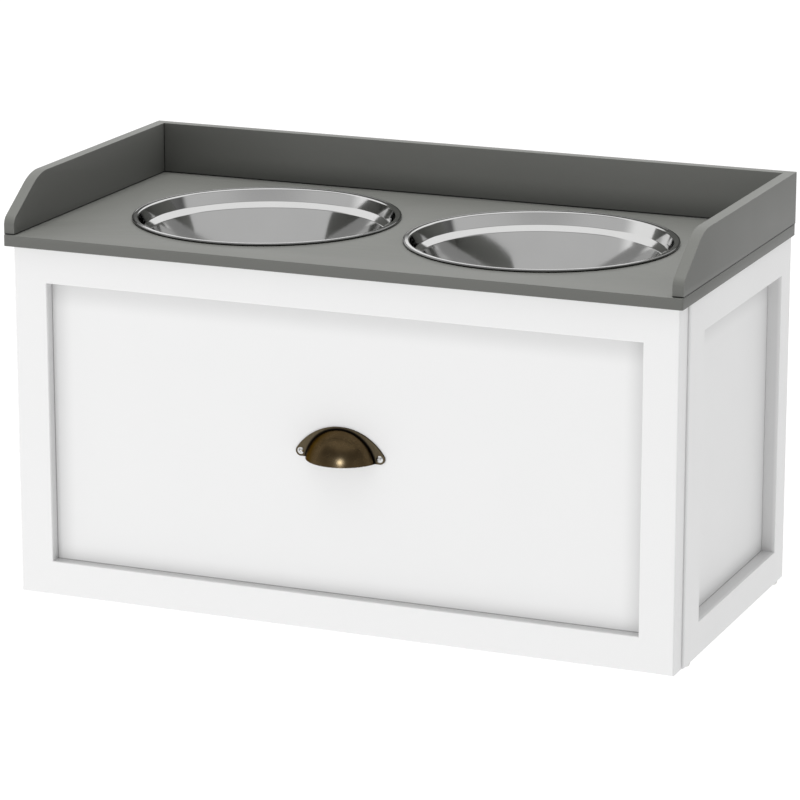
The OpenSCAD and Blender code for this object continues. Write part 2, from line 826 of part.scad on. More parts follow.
// Everything that goes into the drawer front from behind, and the cup pull's screws
module front_holes() {
    both_sides() drawer_cam_places() cam_bolt_hole(small_cam_thread_l, over);
    drawer_bottom_cut();
    pull_screw_places() screw_hole(pull_screw_l);
}

module in_front() {
    color(white_paint) difference() {
        translate([-front_x, front_y, foot_h]) children();
        front_holes();
    }
}

module drawer_front_stile(side) {
    in_front() translate([side < 0 ? 0 : 2 * front_x, 0, 0]) mirror([side < 0 ? 0 : 1, 0, 0])
        frame_stile(front_frame_w, front_h, front_t, front_recess, front_tongue_t);
}

module drawer_front_bottom_rail() {
    in_front() translate([front_frame_w, 0, 0])
        frame_rail(front_open_w, front_frame_w, front_t, front_recess, front_tongue_t);
}

module drawer_front_top_rail() {
    in_front() translate([front_frame_w, 0, front_h]) mirror([0, 0, 1])
        frame_rail(front_open_w, front_frame_w, front_t, front_recess, front_tongue_t);
}

module drawer_front_panel() {
    in_front() translate([front_frame_w, 0, front_frame_w])
        frame_panel(front_open_w, front_open_h, front_t, front_recess, front_tongue_t);
}

// Room that the edges of the drawer's bottom take in the front, the sides and the back
module drawer_bottom_cut() {
    x = box_in_x + box_groove_d;
    y = front_back_y - box_groove_d;
    translate([-x, y, box_z + box_bottom_up])
        cube([2 * x, box_back_y - box_t + box_groove_d - y, box_bottom_t + groove_fit]);
}

module drawer_bottom() {
    lap = box_groove_d - groove_end;
    x = box_in_x + lap;
    y = front_back_y - lap;
    color(white_board) translate([-x, y, box_z + box_bottom_up])
        cube([2 * x, box_back_y - box_t + lap - y, box_bottom_t]);
}

module drawer_side(side) {
    color(white_board) on_side(side) difference() {
        translate([-box_x, front_back_y, box_z]) cube([box_t, box_l, box_h]);
        drawer_bottom_cut();
        drawer_cam_places() cam_bolt_hole(small_cam_thread_l, small_cam_reach);
        drawer_cam_nut_places() cam_nut_hole(small_cam_d, box_t - cam_floor);
        drawer_back_screw_places() flush_hole(back_screw_l);
        drawer_runner_screw_places() screw_hole(drawer_runner_screw_l);
    }
}

module drawer_back() {
    color(white_board) difference() {
        translate([-box_in_x, box_back_y - box_t, box_z]) cube([2 * box_in_x, box_t, box_h]);
        drawer_bottom_cut();
        both_sides() drawer_back_screw_places() screw_hole(back_screw_l);
    }
}

// Heights of the drawer box's fasteners
box_fixing_zs = [box_z + box_fixing_inset, box_top_z - box_fixing_inset];

module drawer_cam_places() {
    for (z = box_fixing_zs)
        translate([-box_x + box_t / 2, front_back_y, z]) rotate([-90, 0, 0]) children();
}

module drawer_cam_bolts() {
    color(zinc) both_sides() drawer_cam_places() cam_bolt(small_cam_thread_l, small_cam_reach);
}

module drawer_cam_nut_places() {
    for (z = box_fixing_zs)
        translate([-box_in_x, front_back_y + small_cam_reach, z])
            rotate([0, 90, 0]) rotate([0, 0, 90]) children();
}

module drawer_cam_nuts() {
    color(zinc) both_sides() drawer_cam_nut_places()
        cam_nut(small_cam_d, box_t - cam_floor, box_t / 2);
}

module drawer_back_screw_places() {
    for (z = box_fixing_zs)
        translate([-box_x, box_back_y - box_t / 2, z]) rotate([0, -90, 0]) children();
}

module drawer_back_screws() {
    color(zinc) both_sides() drawer_back_screw_places() flush_screw(back_screw_l);
}

// Cup pull: a plate whose top is one arc, tangent to the round ears at its ends
module pull_outline() {
    half = pull_screws / 2;
    low = pull_rise - plate_r;
    reach = 2 * plate_r;
    intersection() {
        translate([0, low]) circle(r = plate_r, $fn = 180);
        translate([-reach, -pull_ear_r]) square([2 * reach, reach]);
        polygon([
            [0, low], [reach, low - reach * low / half], [reach, reach],
            [-reach, reach], [-reach, low - reach * low / half]
        ]);
    }
    for (x = [-half, half]) translate([x, 0]) circle(r = pull_ear_r);
    translate([-half, -pull_ear_r]) square([pull_screws, pull_ear_r]);
}

// The cup is a slice of a hollow ball, cut off by the panel behind it and open below
module cup_pull() {
    centre = [0, cup_plan_r - cup_out, -pull_ear_r - cup_drop];
    color(bronze) difference() {
        translate([0, pull_y, pull_z]) difference() {
            union() {
                rotate([90, 0, 0]) linear_extrude(height = pull_plate_t) pull_outline();
                intersection() {
                    translate(centre) sphere(r = cup_r, $fn = 96);
                    translate([-cup_w, -cup_out - over, -pull_ear_r])
                        cube([2 * cup_w, cup_out + over, cup_w]);
                }
            }
            translate(centre) sphere(r = cup_r - cup_wall, $fn = 96);
        }
        pull_screw_places() screw_hole(pull_screw_l);
    }
}

pull_screw_skin = 1.5;
pull_screw_l = pull_plate_t + front_t - front_recess - pull_screw_skin;

module pull_screw_places() {
    for (x = [-pull_screws / 2, pull_screws / 2])
        translate([x, pull_y - pull_plate_t, pull_z]) rotate([90, 0, 0]) children();
}

module cup_pull_screws() {
    color(steel) pull_screw_places() {
        translate([0, 0, -pull_screw_l]) cylinder(h = pull_screw_l, d = screw_d);
        round_head();
    }
}

// Domed screw head: the cap of a ball
module round_head() {
    dome = 0.5;
    h = screw_head_h + dome;
    r = (pow(screw_head_d / 2, 2) + pow(h, 2)) / (2 * h);
    intersection() {
        translate([0, 0, h - r]) sphere(r = r);
        cylinder(h = h + over, d = screw_head_d + over);
    }
}

// Spun bowl: one steel skin from the bottom's middle over the ledge to the rolled rim
function bowl_skin() =
    let(
        in_z = bowl_wall - bowl_depth,
        ledge_low_r = 2,
        ledge_high_r = 1.5,
        rim_bend_r = 1.8,
        lower = [ledge_r, -ledge_down - ledge_h],
        upper = [ledge_r + ledge_w, -ledge_down],
        corner = [ledge_r - lower_taper, in_z],
        neck = [neck_r, flange_top],
        middle = [0, in_z],
        rim = [bead_x, flange_top])
    concat(
        [middle],
        fillet(middle, corner, lower, bowl_corner_r, 8),
        fillet(corner, lower, upper, ledge_low_r, 4),
        fillet(lower, upper, neck, ledge_high_r, 4),
        fillet(upper, neck, rim, rim_bend_r, 5),
        [rim]);

// Room that a stretcher leaves for a bowl: the bowl's outer form and half of the gap
module bowl_room() {
    clear = bowl_wall + stretcher_gap / 2;
    translate([-bowl_x, bowl_y, board_z + bowl_seat]) rotate_extrude($fn = 120)
        polygon(concat(beside(bowl_skin(), clear), [[0, flange_top - clear]]));
}

module bowl(side) {
    skin = bowl_skin();
    color(steel) translate([side * bowl_x, bowl_y, board_z + bowl_seat]) {
        rotate_extrude($fn = 120) polygon(concat(skin, reversed(beside(skin, bowl_wall))));
        rotate_extrude($fn = 120)
            translate([bead_x, bowl_bead_r]) circle(r = bowl_bead_r, $fn = 24);
    }
}

top_board();
gallery_back();
gallery_side(-1);  // gallery_left
gallery_side(1);  // gallery_right
gallery_screws();
side_front_stile(-1);  // side_left_front_stile
side_rear_stile(-1);  // side_left_rear_stile
side_top_rail(-1);  // side_left_top_rail
side_bottom_rail(-1);  // side_left_bottom_rail
side_panel(-1);  // side_left_panel
side_front_stile(1);  // side_right_front_stile
side_rear_stile(1);  // side_right_rear_stile
side_top_rail(1);  // side_right_top_rail
side_bottom_rail(1);  // side_right_bottom_rail
side_panel(1);  // side_right_panel
bottom_board();
back_panel();
stretcher(cab_y);  // front_stretcher
stretcher(back_front_y - stretcher_t);  // rear_stretcher
stretcher_dowels();
cabinet_cam_bolts();
cabinet_cam_nuts();
top_brackets();
bracket_screws();
floor_glides();
cabinet_runner(-1);  // cabinet_runner_left
cabinet_runner(1);  // cabinet_runner_right
cabinet_runner_axles();
cabinet_runner_screws();
drawer_runner(-1);  // drawer_runner_left
drawer_runner(1);  // drawer_runner_right
drawer_runner_axles();
drawer_runner_screws();
front_roller(-1);  // front_roller_left
front_roller(1);  // front_roller_right
rear_roller(-1);  // rear_roller_left
rear_roller(1);  // rear_roller_right
drawer_front_stile(-1);  // drawer_front_stile_left
drawer_front_stile(1);  // drawer_front_stile_right
drawer_front_top_rail();
drawer_front_bottom_rail();
drawer_front_panel();
drawer_side(-1);  // drawer_side_left
drawer_side(1);  // drawer_side_right
drawer_back();
drawer_bottom();
drawer_cam_bolts();
drawer_cam_nuts();
drawer_back_screws();
cup_pull();
cup_pull_screws();
bowl(-1);  // bowl_left
bowl(1);  // bowl_right
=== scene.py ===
import math

import bmesh
import bpy
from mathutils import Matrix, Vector


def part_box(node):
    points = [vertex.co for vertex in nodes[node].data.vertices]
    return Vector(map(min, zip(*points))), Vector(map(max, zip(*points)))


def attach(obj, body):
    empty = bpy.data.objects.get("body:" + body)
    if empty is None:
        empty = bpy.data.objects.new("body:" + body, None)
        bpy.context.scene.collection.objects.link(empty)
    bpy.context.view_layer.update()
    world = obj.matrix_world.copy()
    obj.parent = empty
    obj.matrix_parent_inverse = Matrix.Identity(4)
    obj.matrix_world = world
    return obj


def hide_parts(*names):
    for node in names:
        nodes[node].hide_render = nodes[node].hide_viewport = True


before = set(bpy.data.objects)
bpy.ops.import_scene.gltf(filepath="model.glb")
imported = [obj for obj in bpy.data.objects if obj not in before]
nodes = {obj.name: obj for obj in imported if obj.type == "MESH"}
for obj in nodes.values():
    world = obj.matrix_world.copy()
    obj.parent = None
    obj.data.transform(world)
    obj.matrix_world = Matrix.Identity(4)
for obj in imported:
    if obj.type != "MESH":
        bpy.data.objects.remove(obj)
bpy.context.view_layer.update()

MM = 0.001


# The viewpoint. A long lens stands to the right of the feeder's middle and above it, so far away
# that the upright edges run almost parallel. Distances are in metres, angles in degrees.
def in_scene(name, data):
    """A new object in the scene."""
    thing = bpy.data.objects.new(name, data)
    bpy.context.scene.collection.objects.link(thing)
    return thing


def way(turn, rise):
    """The direction that is turned to the right from the feeder's front, and then raised."""
    turn, rise = math.radians(turn), math.radians(rise)
    return Vector((
        math.sin(turn) * math.cos(rise), -math.cos(turn) * math.cos(rise), math.sin(rise)))


def look(thing, direction):
    """Turns a camera or a lamp so that it faces in a direction."""
    thing.rotation_euler = direction.to_track_quat("-Z", "Y").to_euler()


view_turn, view_rise, view_distance = 22.69, 14.94, 3.291
view_aim = Vector((0.0009, -0.0028, 0.170))
towards_camera = way(view_turn, view_rise)
camera = in_scene("viewpoint", bpy.data.cameras.new("viewpoint"))
camera.data.lens, camera.data.sensor_width = 173.8, 36
camera.data.clip_end = 100
camera.location = view_aim + towards_camera * view_distance
look(camera, -towards_camera)
bpy.context.scene.camera = camera


# Side frames. Each cabinet side is a frame of fibreboard: two upright stiles, two rails between
# them and a panel in their grooves, set back behind the frame. All are sprayed with a satin white
# lacquer, which leaves a very fine ripple and no line where stiles and rails are glued.
class Value:
    """A node's socket that can stand in an expression. Each operator adds a Math node."""

    def __init__(self, graph, socket):
        self.graph, self.socket = graph, socket

    def math(self, operation, a, b):
        return self.graph.add("ShaderNodeMath", {"operation": operation}, {0: a, 1: b})

    def __add__(self, other):
        return self.math("ADD", self, other)

    def __sub__(self, other):
        return self.math("SUBTRACT", self, other)

    def __rsub__(self, other):
        return self.math("SUBTRACT", other, self)

    def __mul__(self, other):
        return self.math("MULTIPLY", self, other)

    def __truediv__(self, other):
        return self.math("DIVIDE", self, other)

    def __pow__(self, other):
        return self.math("POWER", self, other)

    def __abs__(self):
        return self.math("ABSOLUTE", self, 0)

    def __lt__(self, other):
        return self.math("LESS_THAN", self, other)

    def __gt__(self, other):
        return self.math("GREATER_THAN", self, other)

    __radd__, __rmul__ = __add__, __mul__


class Graph:
    """A node tree. add makes every kind of node: its settings first, then its inputs."""

    def __init__(self, tree):
        self.tree = tree

    def add(self, kind, settings, inputs, output=0):
        node = self.tree.nodes.new(kind)
        for name, setting in settings.items():
            setattr(node, name, setting)
        for name, value in inputs.items():
            self.feed(node.inputs[name], value)
        return Value(self, node.outputs[output])

    def feed(self, socket, value):
        if isinstance(value, Value):
            self.tree.links.new(value.socket, socket)
        elif socket.is_multi_input:
            for one in value:
                self.feed(socket, one)
        else:
            socket.default_value = value

    def split(self, vector):
        """The three coordinates of a vector."""
        node = self.add("ShaderNodeSeparateXYZ", {}, {0: vector}).socket.node
        return [Value(self, socket) for socket in node.outputs]


class Finish(Graph):
    """A finish of a new material, or of the studio's world. place is the point on the piece, in
    metres in the feeder's own frame, or the direction that the world is seen in."""

    def __init__(self, name, owner=None):
        self.owner = owner or bpy.data.materials.new(name)
        self.owner.use_nodes = True
        super().__init__(self.owner.node_tree)
        self.shader = self.tree.nodes["Background" if owner else "Principled BSDF"]
        self.place = self.add("ShaderNodeTexCoord", {}, {}, "Generated" if owner else "Object")

    def surface(self, **inputs):
        for name, value in inputs.items():
            self.feed(self.shader.inputs[name.replace("_", " ")], value)
        return self.owner

    def noise(self, size, detail=2, stretch=(1, 1, 1)):
        """Noise from 0 to 1 whose lumps are about size metres wide, longer where stretch is."""
        scale = [1 / (size * s) for s in stretch]
        place = self.add("ShaderNodeVectorMath", {"operation": "MULTIPLY"},
                         {0: self.place, 1: scale})
        return self.add("ShaderNodeTexNoise", {}, {"Vector": place, "Scale": 1.0, "Detail": detail})

    def between(self, low, high, value):
        """0 below low, 1 above high and a smooth rise between them."""
        return self.add("ShaderNodeMapRange", {"interpolation_type": "SMOOTHSTEP"},
                        {"Value": value, "From Min": low, "From Max": high})

    def blend(self, share, a, b):
        """Colour a where share is 0 and colour b where it is 1."""
        return self.add("ShaderNodeMix", {"data_type": "RGBA"}, {0: share, 6: a, 7: b}, 2)

    def relief(self, height, depth, strength=1.0):
        """The normal of a surface whose height runs from 0 to 1 over depth metres."""
        return self.add("ShaderNodeBump", {},
                        {"Height": height, "Distance": depth, "Strength": strength})


def sprayed(name, colour, shadow, roughness, clear=None, line=0.3):
    """Sprayed lacquer: a fine ripple, and clouds where the coat is a little thinner. clear tells
    how clear a point is of the painted shade at joints and recesses, from 0 to 1, and line is
    the grey of that painted shade."""
    f = Finish(name)
    cloud = f.noise(size=90 * MM, detail=3)
    ripple = f.noise(size=1.6 * MM, detail=1)
    speck = f.between(0.62, 0.8, f.noise(size=0.7 * MM, detail=0))
    thin = 0.55 * cloud + 0.25 * speck
    coat = f.blend(thin, colour, shadow)
    # Painted shade: where clear falls below 1, the coat is blended towards the line grey.
    if clear:
        coat = f.blend(clear(f), (line, line, line, 1), coat)
    return f.surface(
        Base_Color=coat,
        Roughness=roughness + 0.1 * (cloud - 0.5),
        Normal=f.relief(ripple, depth=0.04 * MM, strength=0.5),
    )


def put(piece, body, slot, *replaced):
    """Shows a finished piece on its body, in place of the nodes that it stands for."""
    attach(piece, body)
    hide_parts(*replaced)


def made(name, mesh, material):
    """An object for a finished mesh, shaded smooth up to its sharp edges."""
    mesh.shade_smooth()
    mesh.set_sharp_from_angle(angle=math.radians(35))
    mesh.materials.clear()
    mesh.materials.append(material)
    piece = in_scene(name, mesh)
    weighted = piece.modifiers.new("flat faces stay flat", "WEIGHTED_NORMAL")
    weighted.keep_sharp = True
    return piece


def opened(mesh, weld=0):
    """A bmesh of a mesh. Vertices that lie within the weld distance become one."""
    shape = bmesh.new()
    shape.from_mesh(mesh)
    if weld:
        bmesh.ops.remove_doubles(shape, verts=shape.verts, dist=weld)
    return shape


def closed(shape, name, outwards=False):
    """The mesh of a bmesh, which goes. outwards first turns all faces to the outside."""
    if outwards:
        bmesh.ops.recalc_face_normals(shape, faces=shape.faces)
    mesh = bpy.data.meshes.new(name)
    shape.to_mesh(mesh)
    shape.free()
    return mesh


def swept_ring(outer, opening, profile):
    """Sweeps a profile round a rectangle, mitred at its corners. outer and opening are (x0, z0,
    x1, z1). A profile point is (edge, inset, depth): its inset goes inwards from the outer edge,
    or outwards from the opening."""
    (ox0, oz0, ox1, oz1), (ix0, iz0, ix1, iz1) = outer, opening
    ring = bmesh.new()
    loops = []
    for edge, inset, depth in profile:
        if edge == "outer":
            x0, z0, x1, z1 = ox0 + inset, oz0 + inset, ox1 - inset, oz1 - inset
        else:
            x0, z0, x1, z1 = ix0 - inset, iz0 - inset, ix1 + inset, iz1 + inset
        corners = [(x0, z0), (x1, z0), (x1, z1), (x0, z1)]
        loops.append([ring.verts.new((x, depth, z)) for x, z in corners])
    for a, b in zip(loops, loops[1:] + loops[:1]):
        for i in range(4):
            ring.faces.new((a[i], a[(i + 1) % 4], b[(i + 1) % 4], b[i]))
    return closed(ring, "ring", outwards=True)


def realised(piece):
    """The mesh that an object's modifiers make of it. The object itself goes."""
    bpy.context.view_layer.update()
    evaluated = piece.evaluated_get(bpy.context.evaluated_depsgraph_get())
    mesh = bpy.data.meshes.new_from_object(evaluated)
    bpy.data.objects.remove(piece)
    return mesh


def block(low, high):
    """The closed mesh of a box."""
    cube = bmesh.new()
    bmesh.ops.create_cube(cube, size=1)
    for v in cube.verts:
        v.co = [l if c < 0 else h for c, l, h in zip(v.co, low, high)]
    return closed(cube, "block")


def combined(operation, first, second):
    """The exact UNION, INTERSECT or DIFFERENCE of two closed meshes."""
    a, b = in_scene("first", first), in_scene("second", second)
    cut = a.modifiers.new("cut", "BOOLEAN")
    cut.operation, cut.solver, cut.object = operation, "EXACT", b
    mesh = realised(a)
    bpy.data.objects.remove(b)
    return mesh


def frame_profile(thickness, recess, tongue):
    """A stile's or rail's section: rounded outer and inner show edges, and the panel's groove."""
    outer_round, inner_round, groove, steps = 1.5 * MM, 0.8 * MM, 4 * MM, 5

    def round_edge(edge, r, first, last):
        angles = [math.radians(first + (last - first) * i / steps) for i in range(steps + 1)]
        return [(edge, r - r * math.cos(a), r - r * math.sin(a)) for a in angles]

    return [
        *round_edge("outer", outer_round, 0, 90),
        *round_edge("opening", inner_round, 90, 0),
        ("opening", 0, recess), ("opening", groove, recess),
        ("opening", groove, recess + tongue), ("opening", 0, recess + tongue),
        ("opening", 0, thickness), ("outer", 0, thickness),
    ]


def frame_pieces(ring, outer, opening, place, names, body, material):
    """Cuts a swept ring into its two stiles and two rails, and puts each in its place. names are
    the nodes of the stile at x0, the stile at x1, the bottom rail and the top rail."""
    (ox0, oz0, ox1, oz1), (ix0, iz0, ix1, iz1) = outer, opening
    past = 5 * MM
    middle = (iz0 + iz1) / 2
    boxes = [
        (ox0 - past, oz0 - past, ix0, oz1 + past), (ix1, oz0 - past, ox1 + past, oz1 + past),
        (ix0, oz0 - past, ix1, middle), (ix0, middle, ix1, oz1 + past),
    ]
    for name, (x0, z0, x1, z1) in zip(names, boxes):
        mesh = combined("INTERSECT", ring.copy(), block((x0, -past, z0), (x1, 1, z1)))
        for v in mesh.vertices:
            v.co = place(*v.co)
        mesh = closed(opened(mesh), name, outwards=True)
        put(made(name + "_shown", mesh, material), body, "white_paint", name)


# A coat's colour, the shadow in its clouds and its roughness.
white_coat = (0.82, 0.82, 0.82, 1), (0.795, 0.795, 0.795, 1), 0.38


def panel_lacquer_painted_shade(name, opening, axis, beside):
    """White lacquer of a panel, painted darker where it enters the frame: a fine painted shadow
    line and a soft painted shade. A shade is how light the coat stays at the frame and how far the
    painted shade reaches. beside is the one at the two stiles."""
    # Painted shade at the panel's foot and head, then the width of the painted shadow line.
    foot, head = (0.84, 16 * MM), (0.66, 25 * MM)
    shadow_line_low, shadow_line_high = 0.2 * MM, 0.8 * MM

    def clear(f):
        point = f.split(f.place)
        along, up = point[axis], point[2]
        share = 1.0
        for inwards, (least, reach) in (
                (along - opening[0], beside), (opening[2] - along, beside),
                (up - opening[1], foot), (opening[3] - up, head)):
            share = (f.between(shadow_line_low, shadow_line_high, inwards) * share
                     * (least + (1 - least) * f.between(0, reach, inwards)))
        return share
    return sprayed(name, *white_coat, clear)


def frame_lacquer_painted_shade(name, opening, axis, face):
    """White lacquer of a frame, with painted shade on the edges that look into its opening."""
    shade, outside, inside = 0.2, -0.6 * MM, -0.2 * MM

    def clear(f):
        point = f.split(f.place)
        along, depth = point[axis], abs(point[1 - axis] - face)
        within = (f.between(outside, inside, along - opening[0])
                  * f.between(outside, inside, opening[2] - along))
        # Painted shade: inside the opening the lacquer darkens with depth behind the face, up to a
        # fifth towards the line grey.
        return 1 - shade * within * f.between(1 * MM, 4 * MM, depth)
    return sprayed(name, *white_coat, clear)


def panelled(name, pieces, panel, axis, outwards, tongue, beside, body):
    """Shows a frame and finishes its panel, both with painted shade. pieces are the nodes of the
    stile at the low end, the stile at the high end, the bottom rail and the top rail. The frame
    runs along axis, 0 or 1, and faces outwards, -1 or 1, on the other one. beside is the panel's
    painted shade at the stiles."""
    first, last, foot, head = [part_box(node) for node in pieces]
    across = 1 - axis
    shown_side = 1 if outwards > 0 else 0
    face = first[shown_side][across]
    recess = abs(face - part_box(panel)[shown_side][across])
    outer = (first[0][axis], foot[0].z, last[1][axis], head[1].z)
    opening = (first[1][axis], foot[1].z, last[0][axis], head[0].z)
    profile = frame_profile(first[1][across] - first[0][across], recess, tongue)

    def place(along, depth, up):
        point = Vector((along, along, up))
        point[across] = face - outwards * depth
        return point

    frame_pieces(swept_ring(outer, opening, profile), outer, opening, place, pieces, body,
                 frame_lacquer_painted_shade("white_frame_" + name, opening, axis, face))
    nodes[panel].material_slots[0].material = panel_lacquer_painted_shade(
        "white_panel_" + name, opening, axis, beside)


for side, outwards in (("left", -1), ("right", 1)):
    pieces = [f"side_{side}_{piece}"
              for piece in ("front_stile", "rear_stile", "bottom_rail", "top_rail")]
    # beside is the painted shade on each side panel at its stiles.
    panelled(side, pieces, f"side_{side}_panel", axis=1, outwards=outwards, tongue=3 * MM,
             beside=(0.88, 9 * MM), body="root")


# Floor of the cabinet, stretchers and back. The boards are faced with white melamine, which has a
# fine pearl, and the thin back is a lacquered hardboard that slides into grooves of the stiles.
def faced_board(name, colour, shade, pearl_size):
    """White-faced board: a fine even pearl and a faint cloudiness of the pressed surface."""
    f = Finish(name)
    pearl = f.noise(pearl_size, detail=1)
    cloud = f.noise(size=60 * MM)
    return f.surface(
        Base_Color=f.blend(0.5 * cloud + 0.3 * pearl, colour, shade),
        Roughness=0.42 + 0.12 * (pearl - 0.5),
        Normal=f.relief(pearl, depth=0.03 * MM, strength=0.6),
    )


def soften(node, mesh, width, material, segments=2):
    """An object for a node's mesh, its sharp edges eased and kept inside the node's own box."""
    mesh.shade_smooth()
    sharp = in_scene(node + "_sharp", mesh)
    ease = sharp.modifiers.new("eased edges", "BEVEL")
    ease.limit_method, ease.angle_limit = "ANGLE", math.radians(40)
    ease.width, ease.segments, ease.harden_normals = width, segments, True
    mesh = realised(sharp)
    low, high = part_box(node)
    for v in mesh.vertices:
        v.co = [min(max(c, l), h) for c, l, h in zip(v.co, low, high)]
    mesh.materials.clear()
    mesh.materials.append(material)
    return in_scene(node + "_shown", mesh)


def eased(node, width, material, segments=2, joint=0):
    """A copy of a node with its corners welded and its sharp edges eased. joint is the height of
    the fine line that shows under it."""
    copy = opened(nodes[node].data, weld=0.001 * MM)
    bmesh.ops.dissolve_limit(
        copy, angle_limit=math.radians(0.5), verts=copy.verts, edges=copy.edges)
    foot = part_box(node)[0].z + joint
    for v in copy.verts:
        v.co.z = max(v.co.z, foot)
    return soften(node, closed(copy, node), width, material, segments)


board = faced_board("white_melamine", (0.83, 0.83, 0.81, 1), (0.79, 0.79, 0.77, 1), 1.1 * MM)
hardboard = faced_board("lacquered_hardboard", (0.8, 0.795, 0.77, 1), (0.74, 0.73, 0.7, 1), 2 * MM)
for node in ("bottom_board", "front_stretcher", "rear_stretcher"):
    put(eased(node, width=0.4 * MM, material=board), "root", "white_board", node)
nodes["back_panel"].material_slots[0].material = hardboard


# Top board and gallery. Fibreboard of 9.5 mm under a matte warm grey lacquer. Three low boards
# stand on the top's edges, screwed from below. At the front the side ones are cut down in a slope
# that is rounded at both ends.
def clear_of_painted_joint_shadow(f):
    """0 on the gallery's foot and in its upright corners, where the boards meet, 1 elsewhere.
    The 0 marks a painted shadow line, near black, that widens the shadow of the real gap.
    """
    left_low, left_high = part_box("gallery_left")
    x, y, z = f.split(f.place)
    beside, behind = abs(x) - abs(left_high.x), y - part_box("gallery_back")[0].y
    to_corner = (beside ** 2 + behind ** 2) ** 0.5
    return (f.between(0.9 * MM, 1.3 * MM, z - left_low.z)
            * f.between(0.3 * MM, 0.7 * MM, to_corner))


grey_coat = (0.121, 0.123, 0.114, 1), (0.108, 0.11, 0.102, 1), 0.5
grey = sprayed("satin_grey_lacquer", *grey_coat)
# The gallery's grey carries a painted shadow line, near black, in the joints at its foot and
# upright corners.
shadow_lined_grey = sprayed("satin_grey_gallery", *grey_coat, clear_of_painted_joint_shadow, line=0.006)
gallery_joint = 0.45 * MM
grey_pieces = bpy.data.collections.new("grey_pieces")
for node, finish, joint in (
        ("top_board", grey, 0), ("gallery_back", shadow_lined_grey, gallery_joint),
        ("gallery_left", shadow_lined_grey, gallery_joint), ("gallery_right", shadow_lined_grey, gallery_joint)):
    piece = eased(node, width=0.5 * MM, material=finish, segments=3, joint=joint)
    grey_pieces.objects.link(piece)
    put(piece, "root", "grey_paint", node)


# Metal fittings inside. Dowels are beech, cams, brackets and axles are zinc plated steel with a
# faint blue and yellow cast, and all sit in holes of the boards that they join.
def plated(name, colour, cast, roughness):
    """Bright plating: a mottled cast, and fine scratches from tumbling."""
    f = Finish(name)
    mottle = f.noise(size=4 * MM, detail=3)
    scratch = f.noise(size=0.6 * MM, detail=1, stretch=(1, 6, 1))
    return f.surface(
        Base_Color=f.blend(mottle, colour, cast),
        Metallic=1.0,
        Roughness=roughness + 0.2 * (mottle - 0.5) + 0.08 * scratch,
        Normal=f.relief(scratch, depth=0.01 * MM, strength=0.4),
    )


def timber(name, light, dark):
    """Turned beech: straight grain along the dowel, with short dark flecks."""
    f = Finish(name)
    grain = f.noise(size=0.8 * MM, detail=3, stretch=(12, 1, 1))
    fleck = f.between(0.6, 0.75, f.noise(size=0.5 * MM, detail=1, stretch=(5, 1, 1)))
    return f.surface(
        Base_Color=f.blend(0.7 * grain + 0.3 * fleck, light, dark),
        Roughness=0.6 + 0.1 * grain,
        Normal=f.relief(grain, depth=0.05 * MM, strength=0.5),
    )


zinc = plated("zinc_plate", (0.56, 0.58, 0.6, 1), (0.5, 0.5, 0.46, 1), roughness=0.32)
beech = timber("bare_beech", (0.62, 0.44, 0.27, 1), (0.46, 0.3, 0.17, 1))
for node in ("cabinet_cam_bolts", "cabinet_cam_nuts", "top_brackets", "cabinet_runner_axles",
             "drawer_runner_axles", "drawer_cam_bolts", "drawer_cam_nuts"):
    nodes[node].material_slots[0].material = zinc
nodes["stretcher_dowels"].material_slots[0].material = beech


